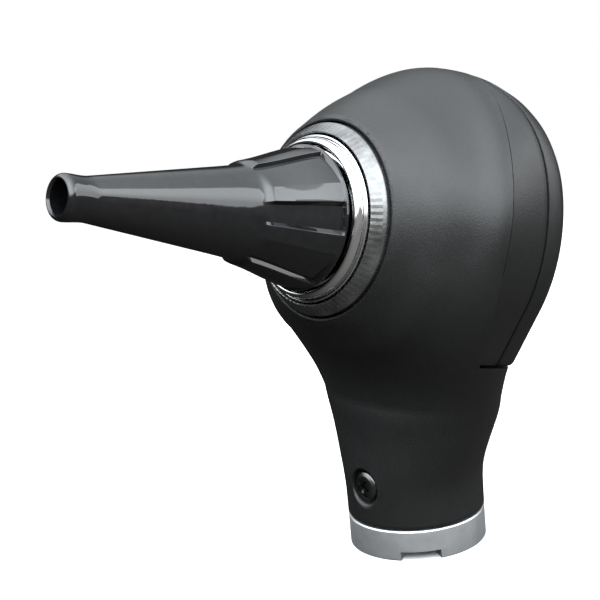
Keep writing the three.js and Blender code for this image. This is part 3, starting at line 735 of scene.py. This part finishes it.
# ---- Front end ----
def make_bezel():
    """Conical ring whose face carries fine flutes round the axis."""
    flutes, per_flute = 90, 4
    outline = rounded(
        [(11.7, 10.8), (13.3, 10.8), (13.3, 13.95), (13.02, 14.3), (11.95, 15.7), (11.7, 15.5)],
        0.14,
    )
    points = []
    count = flutes * per_flute
    for r, z in outline:
        on_cone = 14.35 < z < 15.66 and r > 11.9
        for k in range(count):
            angle = 2 * math.pi * k / count
            groove = abs((k % per_flute) / per_flute - 0.5) * 2
            reach = r - (FLUTE_DEPTH * groove if on_cone else 0)
            points.append((reach * math.cos(angle), reach * math.sin(angle), z))
    rows = len(outline)
    faces = []
    for i in range(rows):
        for k in range(count):
            j = (k + 1) % count
            a, b = i * count, ((i + 1) % rows) * count
            faces.append((a + k, a + j, b + j, b + k))
    thing = raw_object("bezel", points, faces, OPTICAL)
    return finish_piece(thing, "head", cone, ["bezel_ring"], sharp=4)


def make_twist_ring():
    """Two polished beads with a groove between them."""
    corners = [(9.75, 10.8), (11.45, 10.8)]
    for middle, top, half, rise in ((11.3, 15.85, 0.15, 0.2), (10.42, 17.2, 0.64, 1.25)):
        for k in range(13):
            angle = math.pi * k / 12
            across = middle + half * math.cos(angle)
            corners.append((across, top - rise + rise * math.sin(angle)))
        corners.append((middle - half - 0.02, top - rise - 0.3))
    thing = revolved("twist_ring_bright", corners, 160, OPTICAL, 0.04)
    return finish_piece(thing, "twist_lock", polished, ["twist_ring"])


def cone_radius(z):
    return 8.4 + (z - 16.6) * (4 - 8.4) / (31 - 16.6)


def make_mount():
    floor = cone_radius(21) - 0.9
    corners = [
        (8.9, 6.0), (12.4, 6.0), (12.4, 8.2), (9.6, 8.2), (9.6, 16.2), (8.4, 16.6),
        (cone_radius(20.3), 20.3), (floor, 20.3), (floor, 21.7), (cone_radius(21.7), 21.7),
        (4, 30.6), (3.7, 31), (3.4, 31), (floor - 0.6, 21.7), (floor - 0.6, 17.4), (7.8, 15.4),
        (8.9, 14.6),
    ]
    mount = revolved("mount_cone", corners, 96, OPTICAL, 0.12)
    finish_piece(mount, "head", polished, ["speculum_mount"])
    middle, wire = cone_radius(21) - 0.22, 0.32
    circle = [
        (middle + wire * math.cos(a), 21 + wire * math.sin(a))
        for a in np.linspace(0, 2 * math.pi, 16, endpoint=False)
    ]
    seal = revolved("mount_seal", circle, 96, OPTICAL, 0)
    finish_piece(seal, "head", rubber, ["speculum_seal"])


def speculum_cone(z):
    return 2.9 + np.maximum(0, SPECULUM_TIP - 4 - z) * 0.142


def speculum_radius(z):
    bead = 0.12 * smoothstep(SPECULUM_TIP - 3.4, SPECULUM_TIP - 0.9, z)
    rise = smoothstep(SKIRT_FRONT, SPECULUM_BACK, z) ** 1.7
    return speculum_cone(z) + bead + (SKIRT_RIM - speculum_cone(SPECULUM_BACK)) * rise


def rib_step(angle, wall):
    """Sloping wall up to a rounded edge: angle in degrees and height over the round form."""
    return [
        (angle - wall, 0), (angle - 0.3, 0.5), (angle - 0.15, 0.555), (angle + 0.1, 0.59),
        (angle + 0.5, 0.6),
    ]


def skirt_corners():
    """Corners of the skirt's section: panels fall away from steps, mirrored about two planes."""
    quarter = rib_step(13, 3) + [(29, 0.56)] + rib_step(65, 1.3) + [(78, 0.5)]
    half = quarter + [(180 - angle, height) for angle, height in reversed(quarter)]
    return half + [(360 - angle, height) for angle, height in reversed(half)]


def skirt_section(radius, share, fill=9):
    """Section of the skirt: the shallow panels fade into a circle as share falls to 0."""
    corners = [(math.radians(a) + RIB_TURN, radius + h) for a, h in skirt_corners()]
    points = []
    for (a, reach), (b, next_reach) in zip(corners, corners[1:] + corners[:1]):
        turn = (b - a) % (2 * math.pi)
        pieces = fill if turn > 0.05 else 1
        start = np.array((math.cos(a), math.sin(a)))
        end = np.array((math.cos(b), math.sin(b)))
        for k in range(pieces):
            t = k / pieces
            out = np.array((math.cos(a + turn * t), math.sin(a + turn * t)))
            chord = mix(start * reach, end * next_reach, t)
            panel = mix(chord, out * mix(reach, next_reach, t), PANEL_BULGE)
            points.append(mix(out * radius, panel, share))
    return np.array(points)


def make_speculum():
    """Slim cone with a panelled skirt and a flange at its back, hollow from end to end."""
    back, tip = SPECULUM_BACK, SPECULUM_TIP
    stops = [(back, -0.3), (back + 0.08, -0.1), (back + 0.25, 0), (back + 0.5, 0)]
    run_out = PANEL_FRONT + PANEL_RUN_OUT
    stops += [(z, 0) for z in np.concatenate([
        np.linspace(back + 0.7, PANEL_FRONT - 0.2, 24),
        np.linspace(PANEL_FRONT, run_out, 7),
        np.linspace(PANEL_FRONT + 1.6, 51, 28),
        np.linspace(51.8, tip - 0.9, 10),
    ])]
    nose = [(0.9 * math.sin(a), 0.65 * (math.cos(a) - 1)) for a in np.linspace(0.15, 1.5, 8)]
    stops += [(tip - 0.9 + rise, trim) for rise, trim in nose]
    rings = []
    for z, trim in stops:
        ahead = smoothstep(run_out, PANEL_FRONT, z)
        share = float(ahead * smoothstep(back + 0.5, back + 0.7, z))
        flange = FLANGE * smoothstep(back + 0.7, back + 0.5, z)
        radius = float(speculum_radius(min(z, tip - 0.9)) + trim + flange)
        section = skirt_section(radius, share)
        rings.append(np.column_stack([section, np.full(len(section), z)]))
    thing = loft("speculum_black", rings, OPTICAL)
    bore = [
        (0, back - 1), (9.35, back - 1), (9.1, back + 0.1), (8.9, back + 0.5), (8.75, back + 1),
        (4.35, 31), (2.4, tip - 4), (2.2, tip - 0.35), (2.32, tip - 0.1), (2.6, tip + 0.3),
        (2.6, tip + 1), (0, tip + 1),
    ]
    combine(thing, [revolved("tool", bore, 128, OPTICAL, 0)])
    return finish_piece(thing, "speculum_body", gloss, ["speculum"], sharp=15)


# ---- Light path, tunnel, lamp ----
def make_inner_pieces():
    """Turned pieces inside the head and neck: name, profile, body, material, node, slot, place."""
    dome = [
        (2.7 * math.cos(a), 18.3 + 2.7 * math.sin(a)) for a in np.linspace(0, math.pi / 2, 12)[:-1]
    ]
    rows = [
        ("tunnel", [(8.5, -2.6), (9, -2.6), (4.6, 12), (2.5, 30.7), (2, 30.7), (4.1, 12)],
         "head", inner_black, "viewing_tube", "inner_black", OPTICAL),
        ("annulus", [(4.7, 14), (7.3, 14), (7.3, 15.2), (5.22, 17), (5.22, 21.5), (3.12, 30.8),
                     (2.82, 30.8)],
         "head", fibre, "fibre_annulus", "fibre", OPTICAL),
        ("retaining_ring", [(12.9, -6.7), (14.2, -6.7), (14.2, -5.8), (12.9, -5.8)],
         "lens_carrier", inner_black, "lens_retaining_ring", "inner_black", OPTICAL),
        ("seal_ring", [(13.9, -5.3), (14.9, -5.3), (14.9, -4.8), (13.9, -4.8)],
         "head", rubber, "window_seal", "rubber", OPTICAL),
        ("ferrule", [(0, 21.5), (6.1, 21.5), (6.1, 22.8), (2.4, 22.8), (1.4, 23.8), (0, 23.8)],
         "head", aluminium, "fibre_ferrule", "satin_ring", ROW),
        ("socket", [(4.5, 6.7), (6, 6.7), (6, 16.5), (4.5, 16.5)],
         "head", aluminium, "lamp_socket", "satin_ring", ROW),
        ("lamp_shell", [(0, 5.6), (5.2, 5.6), (5.2, 6.4), (4.2, 6.4), (4.2, 13.4), (3.6, 14),
                        (0, 14)],
         "lamp", brass, "lamp_base", "brass", ROW),
        ("lamp_bulb", [(0, 14.3), (2.4, 14.3), *dome, (0, 21)],
         "lamp", bulb_glass, "lamp_glass", "lamp_glass", ROW),
        ("lamp_collar", [(1.7, 4.5), (3.6, 4.5), (3.6, 5.3), (1.7, 5.3)],
         "lamp", ceramic, "lamp_insulator", "ceramic", ROW),
        ("lamp_tip", [(0, 3.6), (1, 3.6), (1.4, 4), (1.4, 5.3), (0, 5.3)],
         "lamp", brass, "lamp_contact", "brass", ROW),
    ]
    for name, corners, body, material, node, slot, place in rows:
        finish_piece(revolved(name, corners, 72, place, 0.12), body, material, [node])


def make_nipple():
    place = OPTICAL @ Matrix.Translation((-23.3, 5, -1.4)) @ Matrix.Rotation(math.pi / 2, 4, "Y")
    corners = [
        (0.8, -6.5), (1.5, -6.5), (1.9, -5.1), (1.5, -4.9), (1.5, -3.2), (2.6, -3.2),
        (2.6, -1.7), (1.5, -1.7), (1.5, 2), (0.8, 2),
    ]
    thing = revolved("nipple", corners, 64, place, 0.15)
    return finish_piece(thing, "head", polished, ["insufflation_nipple"])


# ---- Neck fittings ----
def sector(middle, half, inner, outer, bottom, top):
    angles = np.linspace(middle - half, middle + half, 24)
    rings = []
    for z in (bottom, top):
        outside = [(outer * math.cos(a), outer * math.sin(a), z) for a in angles]
        inside = [(inner * math.cos(a), inner * math.sin(a), z) for a in reversed(angles)]
        rings.append(outside + inside)
    return loft("tool", rings)


def make_bayonet_ring():
    corners = [
        (7.4, 0), (9.85, 0), (10, 0.15), (10, 4.3), (9.83, 4.5), (8, 4.5), (8, 14), (7, 14), (7, 5),
        (7.4, 4),
    ]
    thing = revolved("base_ring", corners, 192, ROW, 0.06)
    turns = [NOTCH_MIDDLE + math.radians(120) * k for k in range(3)]
    lugs = [
        sector(turn + math.radians(60), math.radians(9), 6.5, 7.8, 1.9, 3.1) for turn in turns
    ]
    combine(thing, lugs, "UNION")
    notches = [sector(turn, NOTCH_WIDTH / 2, 5, 14, -1, NOTCH_DEPTH) for turn in turns]
    combine(thing, notches + [rod(1.4, 2, 12, FORWARD, 24)])
    return finish_piece(thing, "head", aluminium, ["bayonet_ring"])


def make_neck_screw():
    face = NECK_RADIUS - 1.2 + 0.3
    place = FORWARD @ Matrix.Translation((0, 0, face)) @ Matrix.Rotation(math.pi, 4, "X")
    corners = [
        (0, -0.8), (0.9, -0.76), (1.6, -0.6), (2.05, -0.32), (2.2, -0.05), (2.2, 0.05),
        (1.1, 0.3), (1.1, 2.4), (0, 2.4),
    ]
    thing = revolved("neck_screw_head", corners, 72, place, 0.08)
    combine(thing, cross_slot(1.45, -0.1, place @ Matrix.Rotation(math.radians(25), 4, "Z")))
    return finish_piece(thing, "head", black_steel, ["neck_screw"])


def dress_cad_nodes():
    """CAD nodes whose shape is right keep it and get their own material and fine bevels."""
    for name, material in (("fibre_bundle", fibre), ("pivot_nut", brass)):
        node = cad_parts[name]
        node.data.materials.clear()
        node.data.materials.append(material)
        bevel = node.modifiers.new("edge", "BEVEL")
        bevel.width = 0.08 * MM
        bevel.segments = 2
        bevel.limit_method = "ANGLE"


# ---- Studio ----
def bare_material(name):
    """Material with an empty node tree; returns it with its nodes and links."""
    material = bpy.data.materials.new(name)
    material.use_nodes = True
    material.node_tree.nodes.clear()
    return material, material.node_tree.nodes, material.node_tree.links


def make_floor():
    """Pale floor that fades into its surroundings, and neither lights the part nor mirrors in it."""
    size = 4.0
    thing = raw_object(
        "floor", [(-size, -size, 0), (size, -size, 0), (size, size, 0), (-size, size, 0)],
        [(0, 1, 2, 3)],
    )
    material, nodes, links = bare_material("pale_floor")
    place = nodes.new("ShaderNodeTexCoord")
    length = nodes.new("ShaderNodeVectorMath")
    length.operation = "LENGTH"
    fade = nodes.new("ShaderNodeMapRange")
    fade.interpolation_type = "SMOOTHSTEP"
    fade.inputs["From Min"].default_value = 0.05
    fade.inputs["From Max"].default_value = 0.3
    diffuse = nodes.new("ShaderNodeBsdfDiffuse")
    diffuse.inputs["Color"].default_value = (0.85, 0.85, 0.86, 1)
    glow = nodes.new("ShaderNodeEmission")
    blend = nodes.new("ShaderNodeMixShader")
    output = nodes.new("ShaderNodeOutputMaterial")
    links.new(place.outputs["Object"], length.inputs[0])
    links.new(length.outputs["Value"], fade.inputs["Value"])
    links.new(fade.outputs["Result"], blend.inputs["Fac"])
    links.new(diffuse.outputs["BSDF"], blend.inputs[1])
    links.new(glow.outputs["Emission"], blend.inputs[2])
    links.new(blend.outputs["Shader"], output.inputs["Surface"])
    thing.data.materials.append(material)
    thing.visible_glossy = False
    thing.visible_diffuse = False


def make_backdrop():
    """Pale surroundings that neither light the part nor mirror in it."""
    mesh = bpy.data.meshes.new("backdrop")
    thing = bpy.data.objects.new("backdrop", mesh)
    bpy.context.scene.collection.objects.link(thing)
    ball = bmesh.new()
    bmesh.ops.create_icosphere(ball, subdivisions=4, radius=3.9)
    ball.to_mesh(mesh)
    ball.free()
    material, nodes, links = bare_material("pale_backdrop")
    glow = nodes.new("ShaderNodeEmission")
    output = nodes.new("ShaderNodeOutputMaterial")
    links.new(glow.outputs["Emission"], output.inputs["Surface"])
    mesh.materials.append(material)
    thing.visible_diffuse = False
    thing.visible_glossy = False
    thing.visible_shadow = False


def soft_light(name, azimuth, elevation, distance, size, radiance, color):
    """Square area light aimed at the head, with its radiance given in place of its power."""
    data = bpy.data.lights.new(name, "AREA")
    data.shape = "RECTANGLE"
    data.size, data.size_y = size
    data.energy = 4 * radiance * size[0] * size[1]
    data.color = color
    light = bpy.data.objects.new(name, data)
    a, e = math.radians(azimuth), math.radians(elevation)
    back = Vector((math.sin(a) * math.cos(e), -math.cos(a) * math.cos(e), math.sin(e)))
    light.location = Vector((0, 0, 0.045)) + back * distance
    light.rotation_mode = "QUATERNION"
    light.rotation_quaternion = back.to_track_quat("Z", "Y")
    light.visible_camera = False
    bpy.context.scene.collection.objects.link(light)


def spread_node(nodes, links, source, source_range, target_range, smooth=False):
    """Map Range node; returns its output."""
    node = nodes.new("ShaderNodeMapRange")
    node.interpolation_type = "SMOOTHSTEP" if smooth else "LINEAR"
    node.inputs["From Min"].default_value, node.inputs["From Max"].default_value = source_range
    node.inputs["To Min"].default_value, node.inputs["To Max"].default_value = target_range
    links.new(source, node.inputs["Value"])
    return node.outputs["Result"]


def math_node(nodes, links, operation, first, second):
    node = nodes.new("ShaderNodeMath")
    node.operation = operation
    links.new(first, node.inputs[0])
    links.new(second, node.inputs[1])
    return node.outputs["Value"]


def make_world():
    """Bright sky that dims to the rear and the left, over dim surroundings lighter on the right."""
    world = bpy.data.worlds.new("studio")
    bpy.context.scene.world = world
    world.use_nodes = True
    nodes, links = world.node_tree.nodes, world.node_tree.links
    place = nodes.new("ShaderNodeTexCoord")
    split = nodes.new("ShaderNodeSeparateXYZ")
    links.new(place.outputs["Generated"], split.inputs["Vector"])
    x, y, z = (split.outputs[axis] for axis in "XYZ")
    sky_share = spread_node(nodes, links, z, (0.28, 0.56), (0, 1), smooth=True)
    low_share = spread_node(nodes, links, z, (0.28, 0.56), (1, 0), smooth=True)
    rear = spread_node(nodes, links, y, (-0.35, 0.8), (SKY, 0.12 * SKY))
    left = spread_node(nodes, links, x, (-0.8, 0.1), (0.5, 1))
    sideways = spread_node(nodes, links, x, (-0.7, 0.9), LOW_GLOW)
    ground = spread_node(nodes, links, z, (-0.15, 0.05), (0.7, 1))
    sky = math_node(nodes, links, "MULTIPLY", rear, sky_share)
    sky = math_node(nodes, links, "MULTIPLY", sky, left)
    low = math_node(nodes, links, "MULTIPLY", sideways, low_share)
    low = math_node(nodes, links, "MULTIPLY", low, ground)
    total = math_node(nodes, links, "ADD", sky, low)
    tint = nodes.new("ShaderNodeValToRGB")
    tint.color_ramp.elements[0].color = (1.0, 1.0, 0.96, 1)
    tint.color_ramp.elements[1].color = (0.9, 0.96, 1.0, 1)
    links.new(sky_share, tint.inputs["Fac"])
    links.new(tint.outputs["Color"], nodes["Background"].inputs["Color"])
    links.new(total, nodes["Background"].inputs["Strength"])


def make_studio():
    """Floor, surroundings, sky and one soft light at the right, behind the object."""
    make_floor()
    make_backdrop()
    make_world()
    soft_light("right_back", 138, 26, 0.8, (0.74, 0.58), 2.3, (0.94, 0.97, 1.0))
    bpy.context.scene.view_settings.view_transform = "Standard"


make_camera()
make_front_shell()
make_shell_lip()
make_rear_housing()
make_lens_frame()
make_lens()
make_pivot()
make_housing_screws()
make_bezel()
make_twist_ring()
make_mount()
make_speculum()
make_inner_pieces()
make_nipple()
make_bayonet_ring()
make_neck_screw()
dress_cad_nodes()
make_studio()
